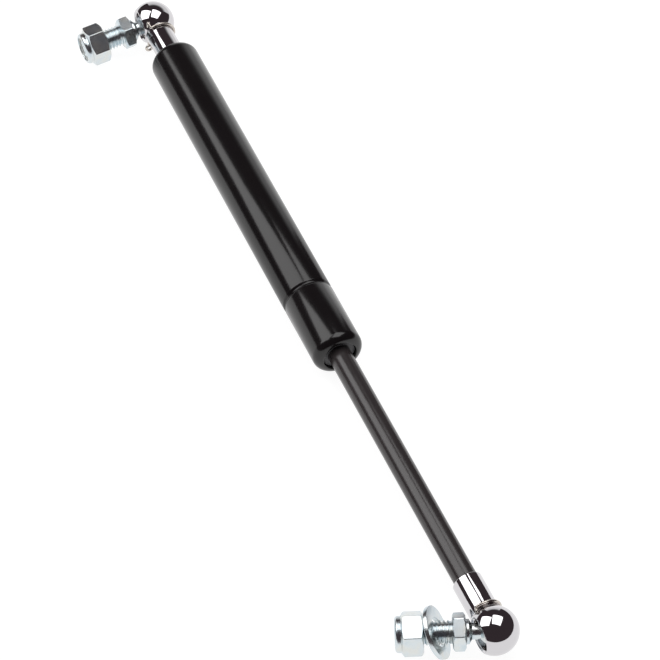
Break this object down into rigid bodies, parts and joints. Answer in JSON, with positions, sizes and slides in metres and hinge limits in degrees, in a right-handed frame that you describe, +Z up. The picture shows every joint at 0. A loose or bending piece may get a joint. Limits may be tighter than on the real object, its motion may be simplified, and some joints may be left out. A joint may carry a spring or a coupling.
{
  "type": "gas strut stay",
  "caption": "Gas strut stay: black tube, dark sliding rod, a chrome metal ball socket at each end with an M8 ball stud and lock nut.",
  "frame": {"origin": "bottom centre of the bounding box, on the surface the strut lies on", "axes": "+X along the strut from the tube end towards the rod end; -Y the side the ball studs point to; +Z up from the surface"},
  "size_m": [0.316, 0.0398, 0.018],
  "materials": {
    "black_paint": "gloss",
    "nitrided_steel": "satin",
    "chrome_plate": "polished",
    "zinc_plate": "satin",
    "spring_steel": "satin",
    "plain_steel": "machined",
    "nylon": "satin",
    "black_rubber": "matte",
    "bush_plastic": "matte"
  },
  "bodies": {
    "cylinder": {"pressure_tube": "black_paint", "end_plug": "plain_steel", "end_plug_seal": "black_rubber", "guide_bush": "bush_plastic", "rod_seal": "black_rubber", "seal_washer": "plain_steel", "tube_end_socket": "chrome_plate", "tube_end_safety_clip": "spring_steel"},
    "piston_ring_body": {"piston_ring": "bush_plastic"},
    "rod": {"piston_rod": "nitrided_steel", "piston": "plain_steel", "valve_disc": "spring_steel", "piston_washer": "plain_steel", "rod_end_socket": "chrome_plate", "rod_end_safety_clip": "spring_steel"},
    "tube_end_snap": {"tube_end_snap_ring": "spring_steel"},
    "tube_end_stud": {"tube_end_ball_stud": "zinc_plate"},
    "tube_end_lock_nut": {"tube_end_nut": "zinc_plate", "tube_end_nut_insert": "nylon"},
    "rod_end_snap": {"rod_end_snap_ring": "spring_steel"},
    "rod_end_stud": {"rod_end_ball_stud": "zinc_plate"},
    "rod_end_lock_nut": {"rod_end_nut": "zinc_plate", "rod_end_nut_insert": "nylon"},
    "loose_washer": {"rod_end_washer": "zinc_plate"}
  },
  "joints": [
    {"name": "rod_slide", "type": "slide", "parent": "cylinder", "child": "piston_ring_body", "axis": [1, 0, 0], "range_m": [-0.1, 0], "stiffness_N_per_m": 360, "springref_m": 0.33333},
    {"name": "rod_spin", "type": "hinge", "parent": "piston_ring_body", "child": "rod", "pos_m": [-0.0052, 0.0109, 0.009], "axis": [1, 0, 0], "continuous": true},
    {"name": "tube_end_swivel", "type": "hinge", "parent": "cylinder", "child": "tube_end_snap", "pos_m": [-0.15, 0.0109, 0.009], "axis": [0, -1, 0], "continuous": true},
    {"name": "tube_end_tilt", "type": "hinge", "parent": "tube_end_snap", "child": "tube_end_stud", "pos_m": [-0.15, 0.0109, 0.009], "axis": [0.7894, 0, 0.6139], "range_deg": [-28.88, 19.12]},
    {"name": "tube_end_nut_travel", "type": "slide", "parent": "tube_end_stud", "child": "tube_end_lock_nut", "axis": [0.0522, -0.9964, -0.0671], "range_m": [0, 0.03]},
    {"name": "rod_end_swivel", "type": "hinge", "parent": "rod", "child": "rod_end_snap", "pos_m": [0.15, 0.0109, 0.009], "axis": [0, -1, 0], "continuous": true},
    {"name": "rod_end_tilt", "type": "hinge", "parent": "rod_end_snap", "child": "rod_end_stud", "pos_m": [0.15, 0.0109, 0.009], "axis": [0.1057, 0, -0.9944], "range_deg": [-45.81, 2.19]},
    {"name": "rod_end_nut_travel", "type": "slide", "parent": "rod_end_stud", "child": "rod_end_lock_nut", "axis": [-0.3695, -0.9284, -0.0393], "range_m": [0, 0.03]},
    {"name": "washer_tilt", "type": "hinge", "parent": "rod_end_stud", "child": "loose_washer", "pos_m": [0.14329, -0.00595, 0.00829], "axis": [0.9291, -0.3697, 0], "range_deg": [-25, 0]}
  ]
}
